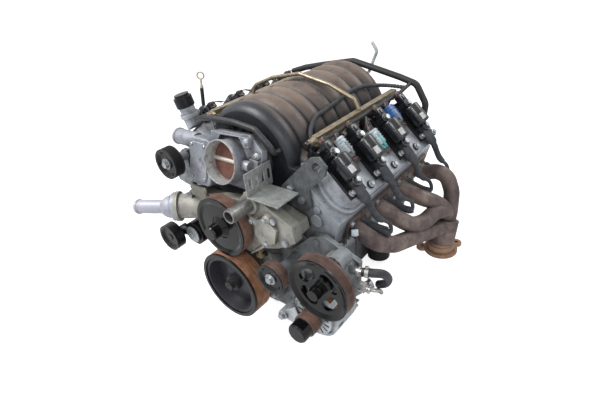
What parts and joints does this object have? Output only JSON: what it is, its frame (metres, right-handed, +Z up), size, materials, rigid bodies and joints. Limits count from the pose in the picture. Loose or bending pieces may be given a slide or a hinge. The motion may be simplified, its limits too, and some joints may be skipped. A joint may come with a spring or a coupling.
{
  "type": "v8 engine",
  "caption": "Front-dressed V engine: block, heads, covers, intake with throttle, coils, exhaust manifolds, pulleys, pump and alternator, no drive belt.",
  "frame": {"origin": "centre of the crankshaft's rear flange face, where the flywheel bolts on", "axes": "+Y along the crank axis towards the rear (the transmission), +Z up, +X towards the bank that sits further forward"},
  "size_m": [0.844, 0.6627, 0.6915],
  "materials": {
    "iron_block": "rough cast, weathered",
    "cast_alu": "as cast, weathered",
    "bright_alu": "smooth cast",
    "dark_steel": "semi-gloss black",
    "bare_steel": "machined",
    "rusty_iron": "heat-brown, rusted",
    "zinc": "zinc plated",
    "composite": "dark brown glass-filled nylon",
    "black_plastic": "glossy black",
    "rubber": "matte",
    "brass": "brown bronze, dull",
    "tan_steel": "passivated",
    "pale_plastic": "pale connector plastic"
  },
  "bodies": {
    "engine": {"accessory_bracket_left": "cast_alu", "accessory_bracket_right": "cast_alu", "alternator_housing": "cast_alu", "bolts": "zinc", "coil_bolts": "zinc", "coil_brackets": "dark_steel", "connectors": "pale_plastic", "cylinder_head_left": "cast_alu", "cylinder_head_right": "cast_alu", "dipstick_tube": "bare_steel", "engine_block": "iron_block", "exhaust_manifold_left": "rusty_iron", "exhaust_manifold_right": "rusty_iron", "fuel_injectors": "pale_plastic", "fuel_rails": "tan_steel", "head_gaskets": "bare_steel", "hose_stub": "bare_steel", "ignition_coils": "black_plastic", "intake_manifold": "composite", "lifting_eye": "bare_steel", "main_bearing_caps": "iron_block", "oil_filler_neck": "cast_alu", "oil_filter": "dark_steel", "oil_pan": "cast_alu", "pistons": "cast_alu", "plug_leads": "rubber", "rear_seal_cover": "cast_alu", "slotted_bracket": "bare_steel", "spark_plugs": "bare_steel", "steam_pipe": "bare_steel", "steering_pump": "cast_alu", "tensioner_base": "cast_alu", "throttle_body": "cast_alu", "throttle_motor_cover": "cast_alu", "timing_chain": "bare_steel", "timing_cover": "cast_alu", "vacuum_pipe": "pale_plastic", "valve_cover_left": "bright_alu", "valve_cover_right": "bright_alu", "vent_hose": "rubber", "water_outlet": "cast_alu", "water_pump_housing": "cast_alu", "wiring_loom": "rubber"},
    "crank": {"crankshaft": "bare_steel", "balancer_hub": "dark_steel", "balancer_rubber": "rubber", "balancer_ring": "dark_steel", "balancer_bolt": "zinc"},
    "cam": {"camshaft": "bare_steel"},
    "water_pump_rotor": {"pump_shaft": "bare_steel", "water_pump_pulley": "dark_steel"},
    "steering_pump_pulley": {"steering_pulley": "dark_steel"},
    "alternator_shaft": {"alternator_rotor": "dark_steel"},
    "upper_idler": {"idler_pulley_left": "black_plastic"},
    "lower_idler": {"idler_pulley_right": "dark_steel"},
    "tensioner": {"tensioner_arm": "cast_alu"},
    "tensioner_wheel": {"tensioner_pulley": "black_plastic"},
    "throttle_valve": {"throttle_plate": "brass"},
    "dipstick": {"dipstick": "bare_steel"},
    "filler_cap": {"oil_filler_cap": "black_plastic"}
  },
  "joints": [
    {"name": "crank_spin", "type": "hinge", "parent": "engine", "child": "crank", "pos_m": [0, 0, 0], "axis": [0, 1, 0], "continuous": true},
    {"name": "cam_spin", "type": "hinge", "parent": "engine", "child": "cam", "pos_m": [0, 0, 0.1248], "axis": [0, 1, 0], "continuous": true},
    {"name": "water_pump_spin", "type": "hinge", "parent": "engine", "child": "water_pump_rotor", "pos_m": [0, -0.56, 0.176], "axis": [0, 1, 0], "continuous": true},
    {"name": "steering_pump_spin", "type": "hinge", "parent": "engine", "child": "steering_pump_pulley", "pos_m": [0.289, -0.56, 0.123], "axis": [0, 1, 0], "continuous": true},
    {"name": "alternator_spin", "type": "hinge", "parent": "engine", "child": "alternator_shaft", "pos_m": [0.24, -0.56, -0.011], "axis": [0, 1, 0], "continuous": true},
    {"name": "upper_idler_spin", "type": "hinge", "parent": "engine", "child": "upper_idler", "pos_m": [-0.13, -0.612, 0.322], "axis": [0, 1, 0], "continuous": true},
    {"name": "lower_idler_spin", "type": "hinge", "parent": "engine", "child": "lower_idler", "pos_m": [0.156, -0.606, 0.094], "axis": [0, 1, 0], "continuous": true},
    {"name": "tensioner_swing", "type": "hinge", "parent": "engine", "child": "tensioner", "pos_m": [-0.139, -0.575, 0.098], "axis": [0, 1, 0], "range_deg": [-30, 0], "stiffness_Nm_per_rad": 6, "springref_deg": 34.38},
    {"name": "tensioner_wheel_spin", "type": "hinge", "parent": "tensioner", "child": "tensioner_wheel", "pos_m": [-0.208, -0.614, 0.08], "axis": [0, 1, 0], "continuous": true},
    {"name": "throttle_turn", "type": "hinge", "parent": "engine", "child": "throttle_valve", "pos_m": [0, -0.54289, 0.32674], "axis": [1, 0, 0], "range_deg": [0, 80], "stiffness_Nm_per_rad": 0.4, "springref_deg": -17.19},
    {"name": "dipstick_pull", "type": "slide", "parent": "engine", "child": "dipstick", "axis": [0, 0.1175, 0.9931], "range_m": [0, 0.19]},
    {"name": "filler_cap_turn", "type": "hinge", "parent": "engine", "child": "filler_cap", "pos_m": [-0.2435, -0.4435, 0.361], "axis": [-0.1736, -0.1105, 0.9786], "range_deg": [-90, 0]}
  ],
  "couplings": [
    {"joint": "cam_spin", "follows": "crank_spin", "ratio": 0.5}
  ]
}
